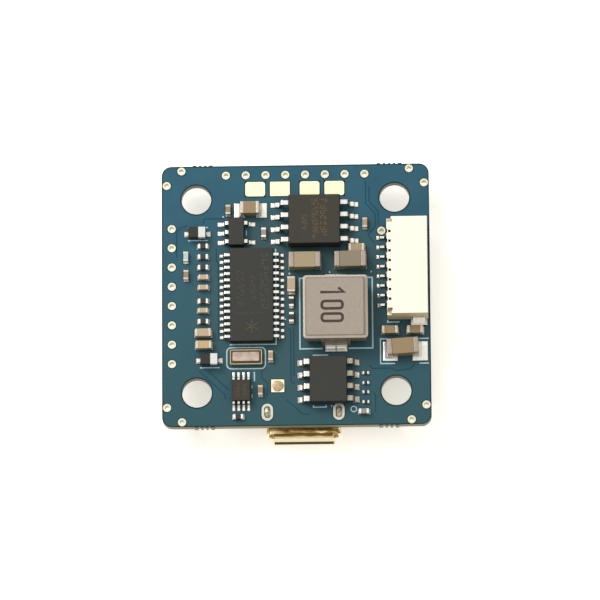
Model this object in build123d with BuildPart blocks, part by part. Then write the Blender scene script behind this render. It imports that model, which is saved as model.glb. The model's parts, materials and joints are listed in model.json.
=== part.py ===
from build123d import *
import os
from math import cos, radians, sin

# Flight controller board, 27 mm square, for a 20 mm bolt square. Millimetres.
# The origin is the centre of the bolt square on the board's under face. +Z points out of the upper
# face, +X towards the mouth of the plug socket and -Y towards the mouth of the USB socket.

# ---- driving dimensions ----
BOARD = 27.0
BOARD_T = 1.0
BOARD_CORNER_R = 1.0
BOLT_SQUARE = 20.0
BOLT_HOLE_R = 1.5
PAD_T = 0.05
LIFT = 0.04                 # solder gap between a pad and the piece on it

WIRE_PITCH = 2.0            # wiring holes along the upper and left edges
WIRE_COUNT = 8
WIRE_EDGE = 1.0             # from the board's edge to the hole's centre
RING_R = 0.41
DRILL_R = 0.28
BORE_R = 0.24

USB_X = 0.635
USB_MOUTH_Y = -14.05
USB_DEPTH = 5.0
USB_WIDTH = 7.4
USB_HEIGHT = 2.5
USB_WALL = 0.25
USB_TAB_Y = -12.08
USB_TAB_X = 3.585           # from the socket's middle to each shell tab
USB_SLOT = (0.75, 1.35)
USB_SLOT_RING = 0.2

SOCKET_X = (9.2, 13.28)     # plug socket: rear wall and mouth
SOCKET_Y = 2.28
SOCKET_LENGTH = 10.0
SOCKET_HEIGHT = 2.9
SOCKET_WALL = 0.45
SOCKET_PITCH = 1.0
SOCKET_WAYS = 8

INDUCTOR = (4.02, -1.93)
INDUCTOR_SIZE = 6.52        # at the top; the sides lean in towards the board
INDUCTOR_DRAFT = 5.5        # degrees
INDUCTOR_HEIGHT = 2.9

BUTTON = (-9.3, -4.2)
BUTTON_TRAVEL = 0.25

UPPER = Plane.XY.offset(BOARD_T)
UNDER = Plane(origin=(0, 0, 0), x_dir=(1, 0, 0), z_dir=(0, 0, -1))
STAND = (Align.CENTER, Align.CENTER, Align.MIN)

os.makedirs("parts", exist_ok=True)
lands = {"upper": [], "under": []}      # (x, y, length, width, turn) of every pad to be tinned


def finish(builder, name):
    builder.part.label = name
    export_step(builder.part, f"parts/{name}.step")
    box = builder.part.bounding_box()
    print(f"{name:28s} solids {len(builder.part.solids()):3d}  z {box.min.Z:6.2f} {box.max.Z:6.2f}")


def seat(side, x, y, turn=0.0, height=PAD_T + LIFT):
    """The plane that a component stands on, at (x, y) on the upper or the under face."""
    up = side == "upper"
    return Plane(
        origin=(x, y, BOARD_T + height if up else -height),
        x_dir=(cos(radians(turn)), sin(radians(turn)), 0),
        z_dir=(0, 0, 1 if up else -1),
    )


def add_land(side, x, y, turn, along, across, length, width):
    """Notes a pad whose centre is (along, across) from (x, y) in a component's turned axes."""
    c, s = cos(radians(turn)), sin(radians(turn))
    lands[side].append((x + along * c - across * s, y + along * s + across * c, length, width, turn))


# ---- components with leads ----
def gull_wing(run, drop, width, thick):
    """One lead: it leaves the body along +X at the origin and its foot lies `drop` lower."""
    knee = 0.54 * run
    slope = 0.12 * run
    with BuildPart() as lead:
        with BuildLine(Plane.XZ) as path:
            FilletPolyline(
                (0, 0), (knee, 0), (knee + slope, -drop), (run, -drop), radius=thick * 0.8
            )
        with BuildSketch(Plane.YZ):
            Rectangle(width, thick)
        sweep()
    return lead.part


def moulded_package(name, side, x, y, body, height, leads, turn=0.0, sides=(0, 180)):
    """A moulded chip: its body, and the leads on the named sides.

    body is (length along the lead direction, length along the lead rows); leads is a dict with the
    count, or a list of row positions for each side, and the pitch, span, foot, width and thick.
    """
    standoff = 0.08
    length, rows = body
    base = seat(side, x, y, turn)
    with BuildPart() as package:
        with BuildSketch(base.offset(standoff + (height - standoff) / 2)):
            Rectangle(length, rows)
        extrude(amount=(height - standoff) / 2, both=True, taper=7)
    finish(package, name + "_body")

    thick = leads["thick"]
    drop = standoff + (height - standoff) / 2 - thick / 2
    run = (leads["span"] - length) / 2
    lead = gull_wing(run, drop, leads["width"], thick)
    places = []
    for angle in sides:
        reach = length / 2 if angle % 180 == 0 else rows / 2
        slots = leads["slots"].get(angle) or leads["slots"]["all"]
        for slot in slots:
            places.append(
                base.location * Location((0, 0, drop + thick / 2), (0, 0, angle)) * Location((reach, slot, 0))
            )
            pad = leads["pad"]
            middle = reach + run - pad[0] / 2 + pad[2]
            c, s = cos(radians(angle)), sin(radians(angle))
            flip = 1 if side == "upper" else -1
            add_land(side, x, y, turn, middle * c - slot * s, flip * (middle * s + slot * c),
                     pad[0] if angle % 180 == 0 else pad[1], pad[1] if angle % 180 == 0 else pad[0])
    with BuildPart() as legs:
        with Locations(*places):
            add(lead)
    finish(legs, name + "_leads")


def slots(count, pitch):
    return [(i - (count - 1) / 2) * pitch for i in range(count)]


moulded_package("osd_chip", "upper", -4.43, -0.15, (4.4, 9.7), 1.05, {
    "slots": {"all": slots(14, 0.65)}, "span": 6.4, "width": 0.27, "thick": 0.12, "pad": (0.55, 0.32, 0.07),
})
moulded_package("flash_chip", "upper", 1.93, 7.40, (5.28, 5.23), 1.9, {
    "slots": {"all": slots(4, 1.27)}, "span": 7.9, "width": 0.44, "thick": 0.2, "pad": (0.95, 0.5, 0.47),
})
moulded_package("converter_chip", "upper", 3.2, -9.0, (3.8, 4.75), 1.3, {
    "slots": {"all": slots(4, 1.27)}, "span": 5.8, "width": 0.52, "thick": 0.2, "pad": (0.68, 0.6, 0.2),
})
moulded_package("regulator", "upper", -5.95, 6.42, (1.6, 2.9), 1.1, {
    "slots": {"all": [-0.95, 0.95], 180: [-0.95, 0.0, 0.95]},
    "span": 2.8, "width": 0.36, "thick": 0.14, "pad": (0.78, 0.45, 0.5),
})
moulded_package("amplifier", "upper", -5.55, -9.93, (2.2, 1.85), 0.8, {
    "slots": {"all": slots(4, 0.5)}, "span": 3.1, "width": 0.2, "thick": 0.11, "pad": (0.72, 0.28, 0.45),
}, turn=90)
moulded_package("processor", "under", 0.0, 0.7, (10.0, 10.0), 1.45, {
    "slots": {"all": slots(16, 0.5)}, "span": 12.0, "width": 0.22, "thick": 0.12, "pad": (0.75, 0.28, 0.25),
}, sides=(0, 90, 180, 270))
moulded_package("logic_regulator", "under", -9.1, 1.6, (1.6, 2.9), 1.1, {
    "slots": {"all": [-0.95, 0.95], 180: [-0.95, 0.0, 0.95]},
    "span": 2.8, "width": 0.36, "thick": 0.14, "pad": (0.8, 0.5, 0.2),
})


# ---- two-terminal components ----
CHIP_SIZES = {  # length, width, height, terminal length, corner radius, pad beyond the terminal
    "1206": (3.2, 1.6, 1.35, 0.54, 0.1, 0.08),
    "0805": (1.9, 1.25, 1.2, 0.36, 0.08, 0.2),
    "0603": (1.6, 0.8, 0.8, 0.28, 0.06, 0.12),
    "0402": (1.0, 0.5, 0.5, 0.24, 0.05, 0.14),
    "0201": (0.6, 0.3, 0.25, 0.15, 0.03, 0.1),
}
WIDE_PADS = {   # position of a block on wider pads than it needs: (x, y, length, width) of its pads
    (-4.57, 8.87): [(-5.65, 8.81, 1.1, 1.52), (-3.43, 8.81, 1.14, 1.52)],
    (10.7, -5.7): [(9.43, -5.98, 1.5, 2.0), (12.42, -5.98, 1.56, 2.0)],
}


def two_terminal(name, ends_name, groups, low=1.0):
    """Blocks with metal ends. groups is a list of (side, size, [(x, y, turn), ...]); low scales the
    body's height against the ends, as on a resistor, whose body is a thin plate."""
    with BuildPart() as bodies:
        for side, size, places in groups:
            length, width, height, cap = CHIP_SIZES[size][:4]
            for x, y, turn in places:
                with BuildSketch(seat(side, x, y, turn, PAD_T + LIFT + 0.02)):
                    Rectangle(length - 2 * cap, width - 0.03)
                extrude(amount=height * low - 0.04)
    finish(bodies, name)
    with BuildPart() as ends:
        for side, size, places in groups:
            length, width, height, cap, radius, _ = CHIP_SIZES[size]
            with BuildPart(mode=Mode.PRIVATE) as terminal:
                Box(cap, width, height * low, align=STAND)
                fillet(terminal.edges(), radius * min(1.0, 2.2 * low))
            for x, y, turn in places:
                base = seat(side, x, y, turn)
                reach = (length - cap) / 2
                with Locations(*[base.location * Location((sign * reach, 0, 0)) for sign in (-1, 1)]):
                    add(terminal.part)
    finish(ends, ends_name)
    for side, size, places in groups:
        length, width, _, cap, _, beyond = CHIP_SIZES[size]
        pad = cap + beyond + 0.04
        for x, y, turn in places:
            if (x, y) in WIDE_PADS:
                lands[side] += [(*wide, 0) for wide in WIDE_PADS[x, y]]
                continue
            for sign in (-1, 1):
                add_land(side, x, y, turn, sign * (length / 2 + beyond - pad / 2), 0, pad, width + 0.03)


two_terminal("large_capacitor_bodies", "large_capacitor_ends", [
    ("upper", "1206", [(0.93, 3.34, 0), (5.52, 3.36, 0), (10.7, -5.7, 3.5)]),
    ("upper", "0805", [(-4.57, 8.87, 0)]),
])
two_terminal("small_capacitor_bodies", "small_capacitor_ends", [
    ("upper", "0603", [(6.15, 4.67, 0), (-0.45, 0.93, 90), (-9.33, -3.94, 0), (-9.28, -5.20, 0),
                       (9.43, -3.89, 0), (11.95, -3.89, 0)]),
    ("upper", "0402", [(-6.79, 8.83, 90), (7.0, 7.3, 90), (-11.05, 2.1, 90), (-2.57, -6.35, 90),
                       (-3.62, -9.9, 90), (-9.3, 1.85, 0), (-9.3, 0.8, 0), (-9.35, -1.6, 0),
                       (6.75, -12.17, 0), (-3.2, 6.4, 90)]),
])
two_terminal("resistor_bodies", "resistor_ends", [
    ("upper", "0402", [(-9.33, y, 0) for y in (5.1, 4.0, 2.9, -0.6, -2.7)]
     + [(-5.85, -12.55, 0), (-0.45, -0.77, 90), (-0.45, -2.38, 90)]),
    ("upper", "0201", [(6.95, y, 0) for y in (-8.18, -9.2, -10.15, -11.16)]),
], low=0.72)
two_terminal("power_led", "power_led_ends", [("upper", "0402", [(-11.06, 4.0, 90)])])
two_terminal("underside_capacitor_bodies", "underside_capacitor_ends", [
    ("under", "0805", [(-9.1, 4.35, 0), (-9.1, -1.15, 0)]),
    ("under", "0402", [(7.2, y, 90) for y in (4.9, 2.2, -0.6, -3.4)]
     + [(-7.2, -2.9, 90), (-7.2, -5.0, 90), (-6.8, -7.4, 90), (-2.6, -7.4, 90), (-7.2, 6.0, 90)]),
])
two_terminal("underside_resistor_bodies", "underside_resistor_ends", [
    ("under", "0402", [(x, -7.0, 90) for x in (0.2, 1.1, 2.0)] + [(x, 8.3, 0) for x in (-3.0, 0.0, 3.0)]
     + [(x, -6.9, 90) for x in (6.0, 7.0)]),
], low=0.72)
two_terminal("status_leds", "status_led_ends", [
    ("under", "0603", [(x, 9.8, 0) for x in (-3.0, 0.0, 3.0)]),
], low=0.75)

# ---- diodes ----
DIODES = [(-9.90, 6.40), (-8.73, -6.72)]
DIODE_BODY = (1.8, 1.12, 0.95)
DIODE_SPAN = 2.5

with BuildPart() as diode_bodies:
    for x, y in DIODES:
        with BuildSketch(seat("upper", x, y, height=PAD_T + LIFT + 0.05 + DIODE_BODY[2] / 2)):
            Rectangle(DIODE_BODY[0], DIODE_BODY[1])
        extrude(amount=DIODE_BODY[2] / 2, both=True, taper=5)
finish(diode_bodies, "diode_bodies")

with BuildPart() as diode_leads:
    for x, y in DIODES:
        for sign in (-1, 1):
            foot = (DIODE_SPAN - DIODE_BODY[0]) / 2
            with Locations(seat("upper", x + sign * (DIODE_BODY[0] + foot) / 2, y).location):
                Box(foot, 0.32, 0.12, align=STAND)
            add_land("upper", x, y, 0, sign * (DIODE_SPAN / 2 - 0.12), 0, 0.46, 0.58)
finish(diode_leads, "diode_leads")


# ---- lidded packages: crystals and sensors ----
def lidded(name, side, x, y, base_size, lid_size, vent=0.0):
    """A flat ceramic base with a metal lid on it; a vented lid is a can with a small hole."""
    with BuildPart() as base:
        with BuildSketch(seat(side, x, y)):
            RectangleRounded(base_size[0], base_size[1], 0.12)
        extrude(amount=base_size[2])
    finish(base, name + "_base")
    with BuildPart() as lid:
        with BuildSketch(seat(side, x, y, height=PAD_T + LIFT + base_size[2])):
            RectangleRounded(lid_size[0], lid_size[1], 0.2)
            if vent:
                with Locations((lid_size[0] * 0.22, lid_size[1] * 0.25)):
                    Circle(vent, mode=Mode.SUBTRACT)
        extrude(amount=lid_size[2])
        chamfer(lid.faces().sort_by(Axis.Z)[-1 if side == "upper" else 0].outer_wire().edges(), 0.05)
    finish(lid, name + "_lid")


lidded("crystal", "upper", -5.05, -6.48, (3.2, 1.5, 0.5), (2.75, 1.0, 0.22))
lidded("clock", "under", -4.7, -7.4, (3.2, 2.5, 0.5), (2.8, 2.1, 0.22))
lidded("barometer", "under", 9.9, -2.6, (2.0, 2.5, 0.3), (1.85, 2.35, 0.6), vent=0.15)
for x, y in ((-5.05, -6.48), (-4.7, -7.4)):
    side = "upper" if y > -7 else "under"
    for sign in (-1, 1):
        add_land(side, x, y, 0, sign * 1.25, 0, 0.74, 1.35)
for across in slots(4, 0.65):
    for sign in (-1, 1):
        add_land("under", 9.9, -2.6, 0, sign * 0.85, across, 0.4, 0.35)

with BuildPart() as gyro_chip:
    with BuildSketch(seat("under", 9.9, 2.0)):
        Rectangle(3.0, 3.0)
    extrude(amount=0.85)
    chamfer(gyro_chip.faces().sort_by(Axis.Z)[0].edges(), 0.06)
finish(gyro_chip, "gyro_chip")
for across in slots(6, 0.45):
    for sign in (-1, 1):
        add_land("under", 9.9, 2.0, 0, sign * 1.35, across, 0.45, 0.25)

# ---- power inductor ----
CORE_FOOT = 0.2             # gap under the core that the terminals fill
WINDING = (1.35, 2.35, 1.3)  # inner radius, outer radius, height
TERMINAL_T = 0.15
TERMINAL_W = 2.9
TERMINAL_TOP = 1.95
TERMINAL_FOOT_W = 2.2

with BuildPart() as inductor_core:
    with BuildSketch(seat("upper", *INDUCTOR, height=PAD_T + INDUCTOR_HEIGHT)):
        RectangleRounded(INDUCTOR_SIZE, INDUCTOR_SIZE, 0.35)
    extrude(amount=-(INDUCTOR_HEIGHT - CORE_FOOT), taper=INDUCTOR_DRAFT)
    chamfer(inductor_core.faces().sort_by(Axis.Z)[-1].edges(), 0.2)
    with BuildSketch(seat("upper", *INDUCTOR, height=PAD_T + INDUCTOR_HEIGHT / 2 - WINDING[2] / 2)):
        Circle(WINDING[1] + 0.05)
        Circle(WINDING[0] - 0.05, mode=Mode.SUBTRACT)
    extrude(amount=WINDING[2] + 0.1, mode=Mode.SUBTRACT)
    # shallow grooves that the terminals lie in
    for sign in (-1, 1):
        groove = (INDUCTOR[0], INDUCTOR[1] + sign * INDUCTOR_SIZE / 2)
        with BuildSketch(seat("upper", *groove, height=PAD_T)):
            Rectangle(TERMINAL_W + 0.1, 0.3)
        extrude(amount=TERMINAL_TOP + 0.02, mode=Mode.SUBTRACT)
finish(inductor_core, "inductor_core")

with BuildPart() as inductor_winding:
    with BuildSketch(seat("upper", *INDUCTOR, height=PAD_T + INDUCTOR_HEIGHT / 2 - WINDING[2] / 2 + 0.05)):
        Circle(WINDING[1])
        Circle(WINDING[0], mode=Mode.SUBTRACT)
    extrude(amount=WINDING[2])
finish(inductor_winding, "inductor_winding")

with BuildPart() as inductor_terminals:
    for sign in (-1, 1):
        side_plane = Plane(origin=(*INDUCTOR, BOARD_T + PAD_T), x_dir=(0, sign, 0), z_dir=(sign, 0, 0))
        edge = INDUCTOR_SIZE / 2
        low, high = CORE_FOOT - 0.02 - TERMINAL_T, CORE_FOOT - 0.02
        for width, outline in (
            (TERMINAL_FOOT_W, [(edge - 1.5, high), (edge - 1.5, low), (edge + 0.42, low), (edge + 0.42, high)]),
            (TERMINAL_W, [(edge, low), (edge + TERMINAL_T, low), (edge + 0.02, TERMINAL_TOP),
                          (edge + 0.02 - TERMINAL_T, TERMINAL_TOP)]),
        ):
            with BuildSketch(side_plane):
                with BuildLine():
                    Polyline(*outline, close=True)
                make_face()
            extrude(amount=width / 2, both=True)
        add_land("upper", *INDUCTOR, 0, 0, sign * (edge - 0.06), 2.2, 1.65)
finish(inductor_terminals, "inductor_terminals")

# ---- plug socket: eight ways, its mouth towards +X ----
socket_depth = SOCKET_X[1] - SOCKET_X[0]
socket_mid = (SOCKET_X[0] + SOCKET_X[1]) / 2
contact_y = [SOCKET_Y + slot for slot in slots(SOCKET_WAYS, SOCKET_PITCH)]
CONTACT_W = 0.22
CONTACT_Z = BOARD_T + 1.35

with BuildPart() as connector_housing:
    with BuildSketch(seat("upper", socket_mid, SOCKET_Y)):
        Rectangle(socket_depth, SOCKET_LENGTH)
    extrude(amount=SOCKET_HEIGHT - PAD_T - LIFT)
    chamfer(connector_housing.faces().sort_by(Axis.Z)[-1].edges().sort_by(Axis.X)[-1], 0.06)
    # the cavity that takes the plug
    with BuildSketch(Plane.YZ.offset(SOCKET_X[1])):
        with Locations((SOCKET_Y, BOARD_T + SOCKET_HEIGHT / 2 + 0.1)):
            Rectangle(SOCKET_LENGTH - 2 * SOCKET_WALL - 0.5, SOCKET_HEIGHT - 2 * SOCKET_WALL)
    extrude(amount=-(socket_depth - 0.85), mode=Mode.SUBTRACT)
    # stepped rear corners
    with BuildSketch(UPPER.offset(SOCKET_HEIGHT)):
        for sign in (-1, 1):
            with Locations((SOCKET_X[0], SOCKET_Y + sign * SOCKET_LENGTH / 2)):
                Rectangle(0.9, 0.55)
    extrude(amount=-0.9, mode=Mode.SUBTRACT)
    # square recesses near both ends of the rear edge
    with BuildSketch(UPPER.offset(SOCKET_HEIGHT)):
        for sign in (-1, 1):
            with Locations((SOCKET_X[0] + 0.3, SOCKET_Y + sign * (SOCKET_LENGTH / 2 - 0.42))):
                Rectangle(0.5, 0.3)
    extrude(amount=-0.55, mode=Mode.SUBTRACT)
    # one small opening over each contact, and a slot down the rear wall for its tail
    with BuildSketch(UPPER.offset(SOCKET_HEIGHT)):
        with Locations(*[(SOCKET_X[0] + 0.3, y - 0.03) for y in contact_y]):
            Rectangle(0.26, 0.26)
    extrude(amount=-0.5, mode=Mode.SUBTRACT)
    with BuildSketch(seat("upper", 0, 0)):
        with Locations(*[(SOCKET_X[0], y) for y in contact_y]):
            Rectangle(0.16, 0.42)
    extrude(amount=SOCKET_HEIGHT, mode=Mode.SUBTRACT)
    # the contacts pass through the rear wall
    with BuildSketch(Plane.YZ.offset(SOCKET_X[0])):
        with Locations(*[(y, CONTACT_Z) for y in contact_y]):
            Rectangle(CONTACT_W + 0.04, CONTACT_W + 0.04)
    extrude(amount=1.0, mode=Mode.SUBTRACT)
finish(connector_housing, "connector_housing")

with BuildPart() as connector_contacts:
    for y in contact_y:
        with BuildLine(Plane.XZ.offset(-y)):
            FilletPolyline(
                (SOCKET_X[1] - 1.3, CONTACT_Z), (SOCKET_X[0] - 0.12, CONTACT_Z),
                (SOCKET_X[0] - 0.2, BOARD_T + PAD_T + LIFT + 0.1),
                (SOCKET_X[0] - 0.85, BOARD_T + PAD_T + LIFT + 0.1), radius=0.1,
            )
        with BuildSketch(Plane.YZ.offset(SOCKET_X[1] - 1.3)):
            with Locations((y, CONTACT_Z)):
                Rectangle(CONTACT_W, 0.18)
        sweep()
        add_land("upper", SOCKET_X[0], y, 0, -0.88, 0, 0.36, 0.42)
finish(connector_contacts, "connector_contacts")

with BuildPart() as connector_tabs:
    for sign in (-1, 1):
        edge = SOCKET_Y + sign * SOCKET_LENGTH / 2
        with Locations(seat("upper", 12.35, edge + sign * 0.33).location):
            Box(1.6, 0.62, 0.25, align=STAND)
        with Locations(seat("upper", 12.35, edge + sign * 0.09).location):
            Box(1.2, 0.14, 1.3, align=STAND)
        add_land("upper", 12.35, edge, 0, 0, sign * 0.32, 1.68, 0.64)
finish(connector_tabs, "connector_tabs")

# ---- USB socket, hung under the board ----
usb_top = -PAD_T - 0.02
usb_bottom = usb_top - USB_HEIGHT


def usb_outline(inset, mode=Mode.ADD):
    """The shell's section in X and Z: wide and round-cornered by the board, narrower away from it."""
    half = USB_WIDTH / 2 - inset
    top, low = usb_top - inset, usb_bottom + inset
    with BuildLine() as outline:
        FilletPolyline(
            (-half, top), (half, top), (half, low + 1.0), (half - 0.6 + inset * 0.4, low),
            (-half + 0.6 - inset * 0.4, low), (-half, low + 1.0), radius=0.55 - inset, close=True,
        )
    make_face(outline.edges(), mode=mode)


usb_front = Plane(origin=(USB_X, USB_MOUTH_Y, 0), x_dir=(1, 0, 0), z_dir=(0, -1, 0))

with BuildPart() as usb_shell:
    with BuildSketch(usb_front):
        usb_outline(0.0)
        usb_outline(USB_WALL, mode=Mode.SUBTRACT)
    extrude(amount=-USB_DEPTH)
    # flared lips round the mouth
    for along, height, rim, width, lip in (
        ((-1, 0, 0), 0, usb_top, 5.9, 0.32), ((1, 0, 0), 0, -usb_bottom, 6.1, 0.5),
        ((0, 0, -1), usb_top - 1.0, USB_WIDTH / 2, 0.8, 0.2), ((0, 0, 1), usb_top - 1.0, USB_WIDTH / 2, 0.8, 0.2),
    ):
        with BuildSketch(Plane(origin=(USB_X, USB_MOUTH_Y, height), x_dir=(0, -1, 0), z_dir=along)):
            with BuildLine():
                Polyline(
                    (-0.02, rim - 0.01), (lip, rim + lip * 0.6), (lip + 0.05, rim + lip * 0.6 - 0.16),
                    (-0.02, rim - USB_WALL + 0.02), close=True,
                )
            make_face()
        extrude(amount=width / 2, both=True)
    # tabs that stand through the board's slots
    with Locations(*[(USB_X + sign * USB_TAB_X, USB_TAB_Y, usb_top - 0.9) for sign in (-1, 1)]):
        Box(0.28, 1.05, 0.9 - usb_top + BOARD_T, align=STAND)
finish(usb_shell, "usb_shell")

USB_CONTACT_W = 0.4
usb_ways = slots(5, 0.65)
tongue_z = (usb_top + usb_bottom) / 2 + 0.1
usb_rear = USB_MOUTH_Y + USB_DEPTH

with BuildPart() as usb_tongue:
    with BuildSketch(Plane(origin=(USB_X, usb_rear, 0), x_dir=(1, 0, 0), z_dir=(0, -1, 0))):
        usb_outline(USB_WALL + 0.02)
    extrude(amount=1.6)
    with BuildSketch(Plane(origin=(USB_X, usb_rear - 1.5, tongue_z), x_dir=(1, 0, 0), z_dir=(0, -1, 0))):
        Rectangle(3.9, 0.6)
    extrude(amount=2.6)
    chamfer(usb_tongue.faces().sort_by(Axis.Y)[0].edges(), 0.1)
    # grooves for the contacts, open on the side away from the board and through the rear block
    with BuildSketch(Plane(origin=(USB_X, usb_rear + 0.01, tongue_z - 0.3), x_dir=(1, 0, 0), z_dir=(0, -1, 0))):
        with Locations(*[(way, 0.06) for way in usb_ways]):
            Rectangle(USB_CONTACT_W + 0.04, 0.2)
    extrude(amount=3.9, mode=Mode.SUBTRACT)
finish(usb_tongue, "usb_tongue")

with BuildPart() as usb_contacts:
    for way in usb_ways:
        with BuildLine(Plane.YZ.offset(USB_X + way)):
            FilletPolyline(
                (usb_rear - 3.7, tongue_z - 0.25), (usb_rear + 0.2, tongue_z - 0.25),
                (usb_rear + 0.28, -PAD_T - LIFT - 0.07), (usb_rear + 0.85, -PAD_T - LIFT - 0.07), radius=0.12,
            )
        strip_end = Plane((USB_X + way, usb_rear - 3.7, tongue_z - 0.25), x_dir=(1, 0, 0), z_dir=(0, 1, 0))
        with BuildSketch(strip_end):
            Rectangle(USB_CONTACT_W, 0.12)
        sweep()
        add_land("under", USB_X + way, usb_rear, 0, 0, 0.6, 0.42, 0.95)
finish(usb_contacts, "usb_contacts")

# ---- boot button, under the board ----
BUTTON_BODY = (3.0, 2.6, 1.0)
PLUNGER_R = 0.65

with BuildPart() as button_base:
    with BuildSketch(seat("under", *BUTTON)):
        RectangleRounded(BUTTON_BODY[0] - 0.1, BUTTON_BODY[1] - 0.1, 0.25)
    extrude(amount=BUTTON_BODY[2])
    with BuildSketch(seat("under", *BUTTON, height=PAD_T + LIFT + 0.3)):
        Circle(1.05)
    extrude(amount=BUTTON_BODY[2], mode=Mode.SUBTRACT)
finish(button_base, "button_base")

with BuildPart() as button_dome:
    with BuildSketch(Plane(origin=(*BUTTON, -PAD_T - LIFT - 0.3), x_dir=(1, 0, 0), z_dir=(0, -1, 0))):
        with BuildLine():
            ThreePointArc((0.95, 0), (0.5, -0.11), (0.08, -0.14))
            Line((0.08, -0.14), (0.08, -0.2))
            ThreePointArc((0.08, -0.2), (0.5, -0.17), (0.95, -0.06))
            Line((0.95, -0.06), (0.95, 0))
        make_face()
    revolve(axis=Axis((*BUTTON, 0), (0, 0, 1)))
finish(button_dome, "button_dome")

with BuildPart() as button_cover:
    with BuildSketch(seat("under", *BUTTON, height=PAD_T + LIFT + BUTTON_BODY[2] + 0.01)):
        RectangleRounded(BUTTON_BODY[0], BUTTON_BODY[1], 0.3)
        Circle(PLUNGER_R + 0.08, mode=Mode.SUBTRACT)
    extrude(amount=0.12)
finish(button_cover, "button_cover")

with BuildPart() as button_plunger:
    with BuildSketch(seat("under", *BUTTON, height=PAD_T + LIFT + 0.3 + 0.2 + BUTTON_TRAVEL + 0.02)):
        Circle(PLUNGER_R)
    extrude(amount=1.05)
    with BuildSketch(seat("under", *BUTTON, height=PAD_T + LIFT + 0.3 + 0.2 + BUTTON_TRAVEL + 0.02)):
        Circle(0.95)
    extrude(amount=0.2)
    fillet(button_plunger.faces().sort_by(Axis.Z)[0].edges(), 0.1)
finish(button_plunger, "button_plunger")

with BuildPart() as button_terminals:
    for sign_x in (-1, 1):
        for sign_y in (-1, 1):
            spot = (BUTTON[0] + sign_x * (BUTTON_BODY[0] / 2 + 0.22), BUTTON[1] + sign_y * 0.8)
            with Locations(seat("under", *spot).location):
                Box(0.5, 0.5, 0.15, align=STAND)
            add_land("under", *spot, 0, 0.1 * sign_x, 0, 0.7, 0.7)
finish(button_terminals, "button_terminals")

# ---- bare board and its metal ----
half = BOARD / 2
wire_line = slots(WIRE_COUNT, WIRE_PITCH)
wire_holes = [(x, half - WIRE_EDGE) for x in wire_line] + [(WIRE_EDGE - half, y) for y in wire_line]
wire_holes += [(sx * 11.5, sy * 13.0) for sx in (-1, 1) for sy in (-1, 1)]
wire_holes += [(sx * 13.0, sy * 11.5) for sx in (-1, 1) for sy in (-1, 1)]
wire_holes += [(8.66, 6.53)]
usb_slots = [(USB_X + sign * USB_TAB_X, USB_TAB_Y) for sign in (-1, 1)]
BREAK_OFF = ((-9.35, 1, 4), (9.5, 1, 5), (-9.25, -1, 4), (9.25, -1, 4))
BREAK_OFF_PITCH = 0.5       # stumps left where the board was snapped out of its panel
BREAK_OFF_R = 0.17
BREAK_OFF_REACH = 0.1

with BuildPart() as circuit_board:
    with BuildSketch():
        RectangleRounded(BOARD, BOARD, BOARD_CORNER_R)
        with GridLocations(BOLT_SQUARE, BOLT_SQUARE, 2, 2):
            Circle(BOLT_HOLE_R, mode=Mode.SUBTRACT)
        with Locations(*wire_holes):
            Circle(DRILL_R, mode=Mode.SUBTRACT)
        with Locations(*usb_slots):
            SlotOverall(USB_SLOT[1], USB_SLOT[0], rotation=90, mode=Mode.SUBTRACT)
        for centre_x, sign, count in BREAK_OFF:
            with Locations((centre_x, sign * (half + BREAK_OFF_REACH / 2 - 0.01))):
                Rectangle(count * BREAK_OFF_PITCH, BREAK_OFF_REACH + 0.02)
            with Locations((centre_x, sign * (half + BREAK_OFF_REACH))):
                with GridLocations(BREAK_OFF_PITCH, 1, count - 1, 1):
                    Circle(BREAK_OFF_R - 0.02, mode=Mode.SUBTRACT)
    extrude(amount=BOARD_T)
finish(circuit_board, "circuit_board")

with BuildPart() as plated_holes:
    with BuildSketch():
        with Locations(*wire_holes):
            Circle(DRILL_R)
            Circle(BORE_R, mode=Mode.SUBTRACT)
        with Locations(*usb_slots):
            SlotOverall(USB_SLOT[1], USB_SLOT[0], rotation=90)
            SlotOverall(USB_SLOT[1] - 0.1, USB_SLOT[0] - 0.1, rotation=90, mode=Mode.SUBTRACT)
    extrude(amount=BOARD_T)
    with BuildSketch(Plane.XY.offset(-PAD_T), UPPER):
        with Locations(*wire_holes):
            Circle(RING_R)
            Circle(BORE_R, mode=Mode.SUBTRACT)
        with Locations(*usb_slots):
            SlotOverall(USB_SLOT[1] + 2 * USB_SLOT_RING, USB_SLOT[0] + 2 * USB_SLOT_RING, rotation=90)
            SlotOverall(USB_SLOT[1] - 0.1, USB_SLOT[0] - 0.1, rotation=90, mode=Mode.SUBTRACT)
    extrude(amount=PAD_T)
finish(plated_holes, "plated_holes")

with BuildPart() as power_pads:
    with BuildSketch(UPPER):
        with Locations((-4.05, 11.04), (1.45, 11.04), (3.95, 11.04)):
            RectangleRounded(2.0, 1.5, 0.28)
        with Locations((-1.55, 11.04)):
            RectangleRounded(2.0, 1.5, 0.04)
    extrude(amount=PAD_T)
finish(power_pads, "power_pads")

with BuildPart() as test_pads:
    with BuildSketch(UPPER):
        with Locations((-1.89, -9.38)):
            Rectangle(1.3, 1.3)
    extrude(amount=PAD_T)
finish(test_pads, "test_pads")

for side, plane in (("upper", UPPER), ("under", Plane.XY.offset(-PAD_T))):
    with BuildPart() as pads:
        with BuildSketch(plane):
            for x, y, length, width, turn in lands[side]:
                with Locations(Location((x, y, 0), (0, 0, turn))):
                    Rectangle(length, width)
        extrude(amount=PAD_T)
    finish(pads, side + "_pads")
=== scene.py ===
"""Flight controller board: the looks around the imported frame. Metres, in the CAD model's frame."""
import json
import math
import random

import bmesh
import bpy
import numpy as np
from mathutils import Matrix, Vector


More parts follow.
